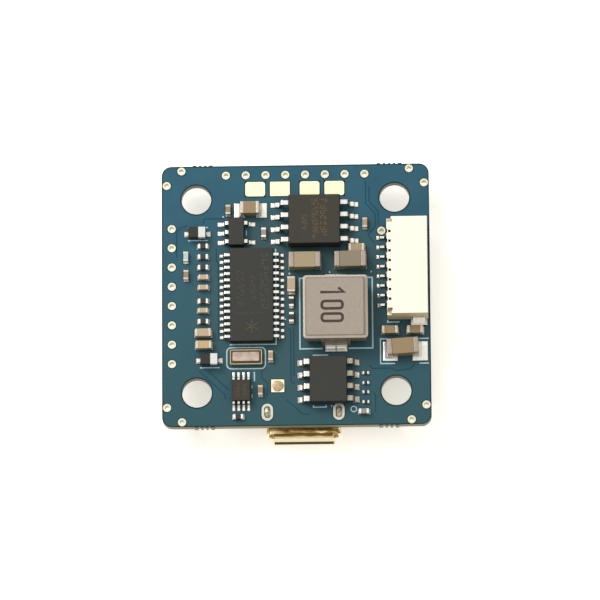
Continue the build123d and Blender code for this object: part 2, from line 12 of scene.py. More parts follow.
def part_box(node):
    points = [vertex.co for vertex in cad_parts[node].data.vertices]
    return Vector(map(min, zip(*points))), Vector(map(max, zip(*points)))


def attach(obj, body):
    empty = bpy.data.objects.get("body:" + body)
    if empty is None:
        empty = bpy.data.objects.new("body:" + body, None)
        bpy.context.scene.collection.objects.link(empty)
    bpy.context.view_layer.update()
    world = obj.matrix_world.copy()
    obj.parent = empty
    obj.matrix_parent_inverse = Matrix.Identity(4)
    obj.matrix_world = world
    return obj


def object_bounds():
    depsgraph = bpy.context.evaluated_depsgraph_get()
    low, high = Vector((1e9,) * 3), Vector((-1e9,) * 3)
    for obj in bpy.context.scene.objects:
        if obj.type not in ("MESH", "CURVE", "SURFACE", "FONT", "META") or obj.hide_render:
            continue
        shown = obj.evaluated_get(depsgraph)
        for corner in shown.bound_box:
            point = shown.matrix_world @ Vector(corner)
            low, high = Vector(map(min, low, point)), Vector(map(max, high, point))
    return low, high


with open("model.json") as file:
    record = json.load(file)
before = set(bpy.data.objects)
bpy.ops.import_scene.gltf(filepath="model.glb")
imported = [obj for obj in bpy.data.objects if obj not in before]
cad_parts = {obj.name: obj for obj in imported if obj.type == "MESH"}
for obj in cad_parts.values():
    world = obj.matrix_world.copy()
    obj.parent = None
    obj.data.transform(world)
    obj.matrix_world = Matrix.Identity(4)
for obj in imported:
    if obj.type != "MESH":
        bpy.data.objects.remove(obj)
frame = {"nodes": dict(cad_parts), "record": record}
cad_bounds = [list(corner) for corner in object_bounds()]
NODES = frame["nodes"]
BODY = "board"
MM = 0.001

BOARD_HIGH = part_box("circuit_board")[1]
TOP = BOARD_HIGH.z
HALF = BOARD_HIGH.x
MASK_T = 0.004 * MM         # how far a layer on the solder mask stands off it
SILK_T = 0.012 * MM
rng = random.Random(7)


# ------------------------------------------------------------------ materials
def linear(r, g, b):
    """An sRGB colour of 0 to 255 as the linear colour that a shader takes."""
    def one(value):
        value /= 255
        return value / 12.92 if value <= 0.04045 else ((value + 0.055) / 1.055) ** 2.4
    return (one(r), one(g), one(b), 1.0)


def shade(colour, factor):
    return tuple(min(1.0, channel * factor) for channel in colour[:3]) + (1.0,)


def add_node(made, kind, **values):
    """A new node in a material; From_Min=1 sets the input named From Min."""
    node = made.node_tree.nodes.new(kind)
    for name, value in values.items():
        node.inputs[name.replace("_", " ")].default_value = value
    return node


def link(made, source, target):
    made.node_tree.links.new(source, target)


def calculate(made, kind, operation, source, operand=None):
    """The result of a maths node on one socket; operand is its second input."""
    node = add_node(made, kind)
    node.operation = operation
    link(made, source, node.inputs[0])
    if operand is not None:
        node.inputs[1].default_value = operand
    return node.outputs["Value"]


def share(made, source, start, end, interpolation="LINEAR"):
    """How far a socket's value is on the way from start to end, 0 to 1."""
    node = add_node(made, "ShaderNodeMapRange", From_Min=start, From_Max=end)
    node.interpolation_type = interpolation
    link(made, source, node.inputs["Value"])
    return node.outputs["Result"]


def blend(made, factor, first, second):
    """A mix of two colours, each of them a socket or a plain colour."""
    mix = add_node(made, "ShaderNodeMix")
    mix.data_type = "RGBA"
    link(made, factor, mix.inputs["Factor"])
    for name, colour in (("A", first), ("B", second)):
        if isinstance(colour, tuple):
            mix.inputs[name].default_value = colour
        else:
            link(made, colour, mix.inputs[name])
    return mix.outputs["Result"]


def glow(made, colour, strength):
    shader = made.node_tree.nodes["Principled BSDF"]
    shader.inputs["Emission Color"].default_value = colour
    shader.inputs["Emission Strength"].default_value = strength


def material(name, colour, rough, metallic=0.0, vary=0.08, grain=3.0, bump=0.0, bump_grain=30.0,
             coat=0.0, specular=0.5, second=None, rough_vary=0.0):
    """A shader whose colour drifts between two tones. Colours are sRGB of 0 to 255, or linear
    where they have four numbers; grain is in spots per millimetre."""
    if len(colour) == 3:
        colour = linear(*colour)
    made = bpy.data.materials.new(name)
    made.use_nodes = True
    shader = made.node_tree.nodes["Principled BSDF"]
    for socket, value in (("Metallic", metallic), ("Roughness", rough), ("Coat Weight", coat),
                          ("Coat Roughness", 0.15), ("Specular IOR Level", specular)):
        shader.inputs[socket].default_value = value
    place = add_node(made, "ShaderNodeTexCoord")
    spots = add_node(made, "ShaderNodeTexNoise", Scale=grain / MM, Detail=4.0)
    spots.name = "spots"
    link(made, place.outputs["Object"], spots.inputs["Vector"])
    ramp = add_node(made, "ShaderNodeValToRGB")
    ramp.name = "tones"
    dark, pale = ramp.color_ramp.elements
    dark.position, pale.position = 0.3, 0.7
    dark.color = shade(colour, 1 - vary)
    pale.color = linear(*second) if second else shade(colour, 1 + vary)
    link(made, spots.outputs["Fac"], ramp.inputs["Fac"])
    link(made, ramp.outputs["Color"], shader.inputs["Base Color"])
    if rough_vary:
        spread = add_node(made, "ShaderNodeMapRange", To_Min=max(0.02, rough - rough_vary),
                          To_Max=rough + rough_vary)
        link(made, spots.outputs["Fac"], spread.inputs["Value"])
        link(made, spread.outputs["Result"], shader.inputs["Roughness"])
    if bump:
        fine = add_node(made, "ShaderNodeTexNoise", Scale=bump_grain / MM, Detail=3.0)
        link(made, place.outputs["Object"], fine.inputs["Vector"])
        relief = add_node(made, "ShaderNodeBump", Strength=1.0, Distance=bump * MM)
        link(made, fine.outputs["Fac"], relief.inputs["Height"])
        link(made, relief.outputs["Normal"], shader.inputs["Normal"])
    return made


def mask_material():
    """Teal solder mask on the faces, olive-brown glass fibre on the cut edges."""
    made = material("solder_mask", (36, 85, 105), 0.32, vary=0.07, grain=0.3, bump=0.003,
                    bump_grain=3.0, second=(42, 92, 109), specular=0.22)
    base = made.node_tree.nodes["Principled BSDF"].inputs["Base Color"]
    place = add_node(made, "ShaderNodeTexCoord").outputs["Object"]
    where = add_node(made, "ShaderNodeSeparateXYZ")
    link(made, place, where.inputs["Vector"])
    # painted light: the mask greys towards the USB edge as a painted cast of light, and turns darker
    # and greener among the parts as painted shade
    along = share(made, where.outputs["Y"], 9 * MM, -13.5 * MM)
    usb_edge_light_cast = blend(made, along, base.links[0].from_socket, linear(43, 81, 88))
    outwards = calculate(made, "ShaderNodeVectorMath", "LENGTH", place)
    inner = share(made, outwards, 12.5 * MM, 6.5 * MM, "SMOOTHSTEP")
    painted_shade_amid_parts = blend(made, inner, usb_edge_light_cast, linear(50, 83, 89))
    normal = add_node(made, "ShaderNodeSeparateXYZ")
    link(made, add_node(made, "ShaderNodeNewGeometry").outputs["Normal"], normal.inputs["Vector"])
    flatness = calculate(made, "ShaderNodeMath", "ABSOLUTE", normal.outputs["Z"])
    is_face = calculate(made, "ShaderNodeMath", "GREATER_THAN", flatness, 0.5)
    link(made, blend(made, is_face, linear(92, 86, 66), painted_shade_amid_parts), base)
    return made


def shell_material():
    """Gold plating, plain at the sides and below. On top and in front it carries a painted
    reflection of a room, in dark and pale streaks across the socket's width."""
    gold = (205, 172, 108)
    made = material("gold_shell_painted_reflection", gold, 0.24, metallic=0.75, bump=0.012, bump_grain=1.8)
    nodes = made.node_tree.nodes
    spots = nodes["spots"]
    stretch = add_node(made, "ShaderNodeMapping", Scale=(0.34, 1.5, 1.5),
                       Location=(0.0, 0.4 * MM, 0.0))
    link(made, spots.inputs["Vector"].links[0].from_socket, stretch.inputs["Vector"])
    link(made, stretch.outputs["Vector"], spots.inputs["Vector"])
    spots.inputs["Scale"].default_value = 1.7 / MM
    streaks = nodes["tones"].color_ramp.elements
    streaks[0].position, streaks[0].color = 0.38, linear(92, 72, 30)
    streaks[1].position, streaks[1].color = 0.66, linear(255, 244, 208)
    for position, colour in ((0.48, (150, 122, 62)), (0.56, (206, 178, 116))):
        streaks.new(position).color = linear(*colour)
    normal = add_node(made, "ShaderNodeNewGeometry").outputs["Normal"]
    facing = calculate(made, "ShaderNodeVectorMath", "DOT_PRODUCT", normal, (0.0, -1.0, 1.0))
    amount = share(made, facing, 0.1, 0.6)
    link(made, blend(made, amount, linear(*gold), nodes["tones"].outputs["Color"]),
         nodes["Principled BSDF"].inputs["Base Color"])
    return made


MATERIALS = {
    "mask": mask_material(),
    "mask_gap": material("bare_laminate", (26, 50, 50), 0.6, vary=0.15, grain=4.0, specular=0.1),
    "trace_gap": material("etched_gap", (27, 69, 86), 0.5, vary=0.12, grain=4.0, specular=0.1),
    "rim": material("cut_rim", (36, 58, 58), 0.7, vary=0.2, grain=6.0, bump=0.008, specular=0.1),
    "stump": material("broken_laminate", (140, 132, 108), 0.8, vary=0.2, grain=8.0, bump=0.01),
    "silk": material("silkscreen_ink", (172, 204, 214), 0.6, vary=0.10, grain=9.0, bump=0.004),
    "tin": material("tinned_metal", (238, 236, 228), 0.26, metallic=1.0, vary=0.05, grain=5.0,
                    bump=0.004, bump_grain=5.0, rough_vary=0.06),
    # steep faces of tinned leads: painted shade
    "tin_shade": material("tinned_metal_painted_shade", (96, 90, 76), 0.4, metallic=0.6, vary=0.15,
                          grain=5.0, bump=0.004, bump_grain=5.0),
    # painted shade on the converter's right-hand leads
    "tin_painted_side_shade": material("tinned_metal_painted_side_shade", (176, 168, 152), 0.36, metallic=0.6, vary=0.15,
                         grain=4.0, bump=0.01, bump_grain=5.0),
    "tin_brownish": material("tinned_metal_brownish", (134, 120, 98), 0.4, metallic=0.5, vary=0.3,
                         grain=4.5, bump=0.01, bump_grain=5.0, second=(180, 168, 146)),
    "solder": material("solder", (244, 242, 232), 0.3, metallic=0.6, vary=0.05, grain=4.0,
                       bump=0.006, bump_grain=5.0, rough_vary=0.06),
    "ring": material("immersion_gold_pale", (220, 222, 202), 0.42, metallic=0.3, vary=0.05,
                     grain=6.0, bump=0.004, bump_grain=8.0),
    "slot_ring": material("tinned_slot_ring", (204, 204, 196), 0.34, metallic=0.6, vary=0.14,
                          grain=4.0, bump=0.012, bump_grain=4.0, rough_vary=0.06),
    # pale as painted light: the floor's light seen through the holes
    "bore": material("plated_bore_painted_light", (238, 231, 196), 0.5, metallic=0.1, vary=0.08, grain=9.0,
                     bump=0.006),
    "pale_gold": material("pale_gold_pad", (252, 249, 208), 0.5, metallic=0.15, vary=0.02,
                          grain=2.0, bump=0.003, bump_grain=6.0),
    "usb_gold_painted_reflection": shell_material(),
    # the inside of the USB lips: a glowing painted reflection of the bright room
    "usb_painted_glow": material("gold_inside_painted_glow", (255, 248, 214), 0.34, metallic=0.1, vary=0.03,
                          grain=1.5, bump=0.006, bump_grain=3.0),
    # the lower lip's edge: a dark painted reflection
    "usb_painted_dark_reflection": material("usb_lip_painted_dark_reflection", (92, 84, 40), 0.3, metallic=0.7, vary=0.15,
                         grain=2.5),
    "mould": material("chip_moulding", (55, 55, 52), 0.6, vary=0.12, grain=14.0, bump=0.008,
                      bump_grain=24.0, specular=0.22),
    "mould_warm": material("chip_moulding_warm", (60, 56, 49), 0.6, vary=0.14, grain=12.0,
                           bump=0.008, bump_grain=24.0, specular=0.22),
    "mould_dark": material("diode_moulding", (50, 47, 42), 0.55, vary=0.18, grain=8.0,
                           bump=0.008, bump_grain=16.0, specular=0.25),
    # the chips' sides: painted shade
    "mould_painted_shade": material("chip_moulding_painted_shade", (42, 41, 37), 0.65, vary=0.14, grain=12.0,
                           bump=0.008, bump_grain=24.0, specular=0.12),
    "laser": material("laser_mark", (82, 80, 72), 0.8, vary=0.10, grain=12.0, specular=0.1),
    "laser_warm": material("laser_mark_warm", (99, 87, 66), 0.8, vary=0.14, grain=12.0,
                           specular=0.1),
    "core": material("pressed_powder_core", (161, 151, 138), 0.7, vary=0.09, grain=9.0,
                     bump=0.012, bump_grain=14.0, specular=0.25),
    # the core's chamfers: painted highlight
    "core_painted_highlight": material("pressed_powder_painted_highlight", (204, 194, 180), 0.6, vary=0.10, grain=9.0,
                          bump=0.012, bump_grain=14.0, specular=0.3),
    # the core's sides: painted shade
    "core_painted_shade": material("pressed_powder_painted_shade", (128, 118, 104), 0.7, vary=0.12, grain=7.0,
                          bump=0.015, bump_grain=12.0, specular=0.2),
    "core_ink": material("core_ink", (78, 64, 60), 0.7, vary=0.16, grain=9.0, specular=0.1),
    "copper": material("winding_copper", (190, 110, 70), 0.35, metallic=1.0),
    "ivory": material("ivory_nylon", (248, 247, 226), 0.42, vary=0.012, grain=1.0, bump=0.004,
                      bump_grain=12.0, coat=0.05, specular=0.3),
    "ivory_painted_shade": material("ivory_nylon_painted_shade", (206, 192, 160), 0.5, vary=0.06, grain=1.4,
                           bump=0.006, bump_grain=10.0, specular=0.2),
    "ivory_painted_deep_shade": material("ivory_nylon_painted_deep_shade", (92, 84, 58), 0.7, vary=0.10, grain=4.0,
                             specular=0.05),
    "tan": material("ceramic_tan", (158, 141, 108), 0.46, vary=0.08, grain=7.0, bump=0.005),
    "light_tan": material("ceramic_light_tan", (180, 161, 127), 0.46, vary=0.08, grain=7.0,
                          bump=0.005),
    "grey_brown": material("ceramic_grey_brown", (132, 120, 99), 0.46, vary=0.07, grain=7.0,
                           bump=0.005),
    "brown": material("ceramic_brown", (144, 122, 88), 0.46, vary=0.08, grain=7.0, bump=0.005),
    "orange": material("ceramic_orange_tan", (190, 161, 118), 0.46, vary=0.07, grain=7.0,
                       bump=0.005),
    "grey": material("ceramic_grey", (146, 137, 130), 0.5, vary=0.10, grain=7.0, bump=0.005),
    "cap_end": material("barrier_tin", (208, 192, 176), 0.32, metallic=0.55, vary=0.10,
                        grain=6.0, bump=0.008, bump_grain=6.0, rough_vary=0.08),
    "cap_end_dull": material("barrier_tin_dull", (166, 152, 138), 0.36, metallic=0.45, vary=0.10,
                             grain=6.0, bump=0.008, bump_grain=6.0, rough_vary=0.06),
    "resistor_end": material("resistor_tin", (240, 238, 230), 0.28, metallic=0.6, vary=0.07,
                             grain=6.0, bump=0.006, bump_grain=9.0, rough_vary=0.08),
    "glaze": material("resistor_glaze", (34, 33, 34), 0.3, vary=0.15, grain=8.0, coat=0.2),
    "led": material("led_resin", (176, 194, 202), 0.25, vary=0.10, grain=6.0, coat=0.4),
    "led_end": material("led_terminal", (206, 214, 192), 0.34, metallic=0.5, vary=0.08,
                        grain=6.0),
    "band": material("cathode_band", (214, 216, 214), 0.5, vary=0.08, grain=7.0, bump=0.006),
    # the crystal bases' tops: dark gold ceramic, darkened further as painted shadow of the lid
    "seal": material("ceramic_and_painted_lid_shadow", (84, 66, 38), 0.38, metallic=0.4, vary=0.14,
                     grain=6.0),
    # the crystal bases' sides and gold rim: the rim's own colour, lightened as a painted highlight
    "seal_edge_and_painted_highlight": material("gold_edge", (196, 180, 146), 0.34, metallic=0.6, vary=0.08, grain=5.0),
    "lid": material("crystal_lid_metal", (172, 152, 140), 0.3, metallic=0.75, vary=0.1,
                    second=(206, 190, 172), grain=1.3, bump=0.02, bump_grain=1.4),
    "slot_bead": material("solder_in_slot", (96, 90, 74), 0.34, metallic=0.5, vary=0.5,
                          grain=3.4, bump=0.03, bump_grain=4.0, second=(206, 197, 170)),
    "bead": material("tarnished_bead", (172, 142, 106), 0.4, metallic=0.3, vary=0.2,
                     second=(206, 180, 146), grain=3.5, bump=0.03, bump_grain=3.0),
    "steel": material("pressed_steel", (196, 196, 192), 0.3, metallic=1.0, vary=0.05, grain=4.0,
                      bump=0.006, bump_grain=8.0),
    "black": material("black_plastic", (30, 30, 31), 0.5, vary=0.15, grain=10.0, bump=0.005),
}
# painted light: the inside of the lips glows
glow(MATERIALS["usb_painted_glow"], linear(255, 240, 196), 0.3)    # the room that it mirrors is bright


# ------------------------------------------------------------------ reading the frame
def islands(node):
    """The solids of a CAD node: (lowest corner, highest corner, face numbers), sorted by place."""
    mesh = NODES[node].data
    points = mesh_points(mesh)
    _, weld = np.unique(np.round(points, 8), axis=0, return_inverse=True)
    weld = weld.reshape(-1)
    edges = np.zeros(len(mesh.edges) * 2, np.int32)
    mesh.edges.foreach_get("vertices", edges)
    edges = weld[edges.reshape(-1, 2)]
    label = np.arange(weld.max() + 1)
    while True:
        least = label.copy()
        np.minimum.at(least, edges[:, 0], label[edges[:, 1]])
        np.minimum.at(least, edges[:, 1], label[edges[:, 0]])
        least = least[least]
        if (least == label).all():
            break
        label = least
    owner = label[weld]
    face_owner = owner[np.array([polygon.vertices[0] for polygon in mesh.polygons])]
    found = []
    for solid in np.unique(owner):
        mine = points[owner == solid]
        faces = [int(face) for face in np.nonzero(face_owner == solid)[0]]
        found.append((Vector(mine.min(0)), Vector(mine.max(0)), faces))
    return sorted(found, key=lambda part: (round(part[0].y, 5), round(part[0].x, 5)))


def mesh_points(mesh):
    points = np.zeros(len(mesh.vertices) * 3)
    mesh.vertices.foreach_get("co", points)
    return points.reshape(-1, 3)


def middle(part):
    return (part[0] + part[1]) / 2


def is_slot(part):
    """True for a plated hole that is a slot, longer than it is wide."""
    return part[1].y - part[0].y > (part[1].x - part[0].x) * 1.1


def near(part, places, reach):
    """True if a solid's middle is within reach of one of the places, all in millimetres."""
    centre = middle(part) / MM
    return any(abs(centre.x - x) < reach and abs(centre.y - y) < reach for x, y in places)


# ------------------------------------------------------------------ mesh building
def piece(name, bm, finish, smooth=False):
    """Turns a bmesh into a piece of the object that rides on the board."""
    bmesh.ops.recalc_face_normals(bm, faces=bm.faces)
    mesh = bpy.data.meshes.new(name)
    bm.to_mesh(mesh)
    bm.free()
    mesh.materials.append(MATERIALS[finish])
    made = bpy.data.objects.new(name, mesh)
    bpy.context.scene.collection.objects.link(made)
    for polygon in mesh.polygons:
        polygon.use_smooth = smooth
    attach(made, BODY)


def skin(bm, rings):
    """The faces between outlines of vertices that follow one another."""
    for last, ring in zip(rings, rings[1:]):
        for i in range(len(ring)):
            j = (i + 1) % len(ring)
            bm.faces.new((last[i], last[j], ring[j], ring[i]))


def bar(bm, rings):
    """A closed bar through outlines of vertices."""
    skin(bm, rings)
    for end in (rings[0], rings[-1]):
        bm.faces.new(end)


def plate(bm, outline, low, high):
    """A flat plate from a closed outline of (x, y) points."""
    bar(bm, [[bm.verts.new((x, y, z)) for x, y in outline] for z in (low, high)])


def band(bm, outer, inner, low, high):
    """A flat ring between two outlines that have the same number of points."""
    rings = [[bm.verts.new((x, y, z)) for x, y in outline]
             for outline, z in ((inner, low), (outer, low), (outer, high), (inner, high))]
    skin(bm, rings + rings[:1])


def circle(x, y, radius, count=32):
    turn = 2 * math.pi / count
    return [(x + radius * math.cos(i * turn), y + radius * math.sin(i * turn))
            for i in range(count)]


def rounded(x0, y0, x1, y1, radius, steps=6):
    """The outline of a rectangle with round corners."""
    points = []
    for cx, cy, start in ((x1 - radius, y1 - radius, 0), (x0 + radius, y1 - radius, 90),
                          (x0 + radius, y0 + radius, 180), (x1 - radius, y0 + radius, 270)):
        for i in range(steps + 1):
            angle = math.radians(start + 90 * i / steps)
            points.append((cx + radius * math.cos(angle), cy + radius * math.sin(angle)))
    return points


def around(low, high, margin, radius):
    """A rounded outline that runs at a margin outside a box."""
    return rounded(low.x - margin, low.y - margin, high.x + margin, high.y + margin, radius)


def layer(face, side):
    """The lowest and highest level of a thin layer on a face that looks up (1) or down (-1)."""
    return sorted((face, face + side * MASK_T))


def stroke(bm, points, width, low, high, closed=False):
    """A flat line of even width through (x, y) points, with mitred corners."""
    count = len(points)
    left, right = [], []
    for i, (x, y) in enumerate(points):
        before = points[i - 1] if closed or i else None
        after = points[(i + 1) % count] if closed or i < count - 1 else None
        ways = []
        if before:
            ways.append(Vector((x - before[0], y - before[1])).normalized())
        if after:
            ways.append(Vector((after[0] - x, after[1] - y)).normalized())
        way = sum(ways, Vector((0, 0))).normalized()
        side = Vector((-way.y, way.x))
        reach = width / 2 / max(0.5, side.dot(Vector((-ways[0].y, ways[0].x))))
        left.append((x + side.x * reach, y + side.y * reach))
        right.append((x - side.x * reach, y - side.y * reach))
    if closed:
        band(bm, left, right, low, high)
    else:
        plate(bm, left + right[::-1], low, high)


def draw(bm, lines, low, high):
    """Strokes from a table of (width, points) in millimetres."""
    for width, points in lines:
        stroke(bm, [(x * MM, y * MM) for x, y in points], width * MM, low, high)


# ------------------------------------------------------------------ camera, light and floor
VIEW_AZIMUTH, VIEW_ELEVATION, VIEW_ROLL = (math.radians(a) for a in (6.41, 76.09, -7.01))
VIEW_DISTANCE = 626.4 * MM
VIEW_CENTRE = (0.406 * MM, -0.523 * MM)     # the view's middle on the board, right and up
VIEW_LENS = 373.6
KEY_PLACE = (-0.20, 0.20, 0.30)
FLOOR_HALF = 3.0


def stand_camera():
    back = Vector((math.sin(VIEW_AZIMUTH) * math.cos(VIEW_ELEVATION),
                   -math.cos(VIEW_AZIMUTH) * math.cos(VIEW_ELEVATION), math.sin(VIEW_ELEVATION)))
    level = Vector((math.cos(VIEW_AZIMUTH), math.sin(VIEW_AZIMUTH), 0))
    rise = back.cross(level)
    right = math.cos(VIEW_ROLL) * level + math.sin(VIEW_ROLL) * rise
    up = back.cross(right)
    place = (right * VIEW_CENTRE[0] + up * VIEW_CENTRE[1] + back * VIEW_DISTANCE
             + Vector((0, 0, TOP)))
    lens = bpy.data.cameras.new("camera")
    lens.lens = VIEW_LENS
    lens.sensor_width = 36.0
    lens.clip_start = 0.01
    lens.clip_end = 10.0
    camera = bpy.data.objects.new("camera", lens)
    turn = Matrix((right, up, back)).transposed().to_4x4()
    camera.matrix_world = Matrix.Translation(place) @ turn
    bpy.context.scene.collection.objects.link(camera)
    bpy.context.scene.camera = camera


def hang_ceiling():
    """A bright ceiling that falls off to dim walls."""
    world = bpy.data.worlds.new("studio")
    world.use_nodes = True
    sky = world.node_tree.nodes["Background"]
    way = add_node(world, "ShaderNodeTexCoord")
    split = add_node(world, "ShaderNodeSeparateXYZ")
    link(world, way.outputs["Generated"], split.inputs["Vector"])
    ceiling = add_node(world, "ShaderNodeValToRGB")
    wall, overhead = ceiling.color_ramp.elements
    wall.position, overhead.position = 0.0, 0.95
    wall.color = (0.07, 0.066, 0.056, 1)
    overhead.color = (1.0, 0.99, 0.975, 1)
    link(world, split.outputs["Z"], ceiling.inputs["Fac"])
    link(world, ceiling.outputs["Color"], sky.inputs["Color"])
    sky.inputs["Strength"].default_value = 1.0
    bpy.context.scene.world = world
    bpy.context.scene.view_settings.view_transform = "Standard"


def hang_key_light():
    lamp = bpy.data.lights.new("key", "AREA")
    lamp.shape = "RECTANGLE"
    lamp.size = lamp.size_y = 0.22
    lamp.energy = 1.1
    lamp.color = (1.0, 0.99, 0.97)
    key = bpy.data.objects.new("key", lamp)
    key.location = KEY_PLACE
    key.rotation_euler = (-Vector(KEY_PLACE)).to_track_quat("-Z", "Y").to_euler()
    bpy.context.scene.collection.objects.link(key)


def lay_floor():
    """White paper, lit a little from within like a light table."""
    paper = material("floor_paper", (0.94, 0.915, 0.875, 1), 0.9, vary=0.005, grain=0.1,
                     specular=0.0)
    glow(paper, (1.0, 0.93, 0.83, 1), 0.53)
    bm = bmesh.new()
    bmesh.ops.create_grid(bm, x_segments=2, y_segments=2, size=FLOOR_HALF)
    mesh = bpy.data.meshes.new("floor")
    bm.to_mesh(mesh)
    bm.free()
    mesh.materials.append(paper)
    floor = bpy.data.objects.new("floor", mesh)
    floor.location.z = cad_bounds[0][2]
    bpy.context.scene.collection.objects.link(floor)


# ------------------------------------------------------------------ paint on the CAD nodes
PLAIN = {       # one finish all over
    "pale_gold": ["power_pads", "test_pads"],
    "tin": ["upper_pads", "under_pads", "connector_tabs", "diode_leads", "button_terminals"],
    "resistor_end": ["resistor_ends", "underside_resistor_ends"],
    "led_end": ["power_led_ends", "status_led_ends"],
    "cap_end": ["underside_capacitor_ends"],
    "mould": ["gyro_chip"],
    "mould_dark": ["diode_bodies"],
    "copper": ["inductor_winding"],
    "glaze": ["resistor_bodies", "underside_resistor_bodies"],
    "led": ["power_led", "status_leds"],
    "lid": ["crystal_lid", "clock_lid"],
    "steel": ["barometer_lid", "button_cover", "button_dome"],
    "mask_gap": ["barometer_base"],
    "black": ["usb_tongue", "button_base", "button_plunger"],
    "bore": ["usb_contacts"],
}
WARM_CHIPS = ("flash_chip", "amplifier")
CHIPS = WARM_CHIPS + ("osd_chip", "converter_chip", "regulator", "processor", "logic_regulator")
TONES = {   # fired ceramics differ from batch to batch; places are in millimetres
    "grey_brown": [(5.52, 3.36)],
    "brown": [(10.7, -5.7), (-4.57, 8.87), (11.95, -3.89), (9.43, -3.89), (-6.79, 8.83),
              (-11.05, 2.1), (-3.62, -9.9)],
    "orange": [(-9.28, -5.2)],
    "light_tan": [(-9.33, -3.94), (-9.35, -1.6), (-9.3, 1.85), (-9.3, 0.8), (-0.45, 0.93)],
    "grey": [(6.75, -12.17), (-3.2, 6.4)],
}
BODY_REACH, END_REACH = 0.4, 0.6    # how far a ceramic's body and ends may lie from its place
BIG_END = 0.45 * MM                 # capacitor ends wider than this are dull
BREAK_OFF = 13.5 * MM               # beyond this the board's edge is a broken-off stump
KNEE = 0.6 * MM                     # the contacts' knees stand above this


def paint(node, *names, pick=None):
    """Gives a CAD node the named materials; pick(centre, normal) says which one a face takes."""
    mesh = NODES[node].data
    mesh.materials.clear()
    for name in names:
        mesh.materials.append(MATERIALS[name])
    index = [pick(face.center, face.normal) if pick else 0 for face in mesh.polygons]
    mesh.polygons.foreach_set("material_index", index)


def paint_solid(node, part, index):
    for face in part[2]:
        NODES[node].data.polygons[face].material_index = index


def steeper(limit):
    """Picks the second material for faces whose normal is less upright than the limit."""
    return lambda at, way: int(abs(way.z) < limit)


def paint_chips():
    for chip in CHIPS:
        # the leads' steep faces get painted shade
        paint(chip + "_leads", "tin", "tin_shade", pick=steeper(0.7))
        top = "mould_warm" if chip in WARM_CHIPS else "mould"
        # the bodies' sides get painted shade
        paint(chip + "_body", top, "mould_painted_shade", pick=steeper(0.7))
    middle_x = middle(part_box("converter_chip_body")).x
    # the converter's leads right of its middle get a duller tin as painted shade on that side
    paint("converter_chip_leads", "tin", "tin_shade", "tin_painted_side_shade",
          pick=lambda at, way: 1 if abs(way.z) < 0.7 else 2 if at.x > middle_x else 0)


def paint_capacitors():
    paint("small_capacitor_ends", "cap_end", "resistor_end")
    for part in islands("small_capacitor_ends"):
        if near(part, TONES["grey"], END_REACH):
            paint_solid("small_capacitor_ends", part, 1)
    paint("large_capacitor_ends", "cap_end", "cap_end_dull")
    for part in islands("large_capacitor_ends"):
        if part[1].x - part[0].x > BIG_END:
            paint_solid("large_capacitor_ends", part, 1)
    for node in ("large_capacitor_bodies", "small_capacitor_bodies", "underside_capacitor_bodies"):
        paint(node, "tan", *TONES)
        for part in islands(node):
            for index, places in enumerate(TONES.values(), 1):
                if near(part, places, BODY_REACH):
                    paint_solid(node, part, index)


def paint_connector():
    """The socket is white on top, with painted shade on its sides and ends and deeper painted shade
    in its openings.
    """
    low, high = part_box("connector_housing")

    def housing(at, way):
        at_end = min(at.y - low.y, high.y - at.y) < 0.8 * MM
        if at.x < low.x + 0.5 * MM and low.y + 0.01 * MM < at.y < low.y + 0.3 * MM:
            return 0
        if way.z > 0.5:
            if at.z > high.z - 0.1 * MM:
                return 0
            return 1 if at_end else 2
        in_opening = at.x < low.x + 0.9 * MM and (
            abs(way.y) > 0.5 or at.x > low.x + 0.01 * MM and way.x < -0.5)
        return 2 if in_opening and not at_end else 1
    paint("connector_housing", "ivory", "ivory_painted_shade", "ivory_painted_deep_shade", pick=housing)
    # the contacts' knees outside the housing get painted shade
    paint("connector_contacts", "tin", "tin_shade",
          pick=lambda at, way: int(at.x < low.x and at.z > TOP + KNEE))


def paint_usb_shell():
    """Gold plating, with a glowing painted reflection in cream on the inside of the lips and a dark
    painted reflection on the lower lip's edge.
    """
    low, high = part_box("usb_shell")
    centre = (low.x + high.x) / 2

    def shell(at, way):
        if at.y < low.y + 0.12 * MM and at.z < low.z + 0.4 * MM and abs(way.z) < 0.75:
            return 2
        if at.z < low.z + 0.62 * MM and way.z > 0.3:
            return 1
        if at.y < low.y + 0.56 * MM and abs(at.x - centre) > 3.5 * MM:
            return 1
        return 0
    paint("usb_shell", "usb_gold_painted_reflection", "usb_painted_glow", "usb_painted_dark_reflection", pick=shell)


def paint_frame():
    """Every CAD node gets its material."""
    for finish, nodes in PLAIN.items():
        for node in nodes:
            paint(node, finish)
    paint("circuit_board", "mask", "stump",
          pick=lambda at, way: int(abs(at.y) > BREAK_OFF and abs(way.z) < 0.5))
    in_slot = {face for part in islands("plated_holes") if is_slot(part) for face in part[2]}
    # the bores are painted pale, as light coming through the holes
    paint("plated_holes", "ring", "bore", "slot_ring", pick=steeper(0.5))
    for polygon in NODES["plated_holes"].data.polygons:
        if polygon.index in in_slot and abs(polygon.normal.z) > 0.5:
            polygon.material_index = 2
    # the bases' tops are darkened as painted shadow of the lid, their sides lightened as a painted
    # highlight
    for node in ("crystal_base", "clock_base"):
        paint(node, "seal", "seal_edge_and_painted_highlight", pick=steeper(0.5))
    # the core's chamfers get a painted highlight and its sides painted shade
    paint("inductor_core", "core", "core_painted_highlight", "core_painted_shade",
          pick=lambda at, way: 0 if way.z > 0.95 else 1 if way.z > 0.3 else 2)
    # the terminals are darker and browner above their feet
    paint("inductor_terminals", "tin", "tin_brownish",
          pick=lambda at, way: int(at.z > TOP + 0.3 * MM))
    paint_chips()
    paint_capacitors()
    paint_connector()
    paint_usb_shell()


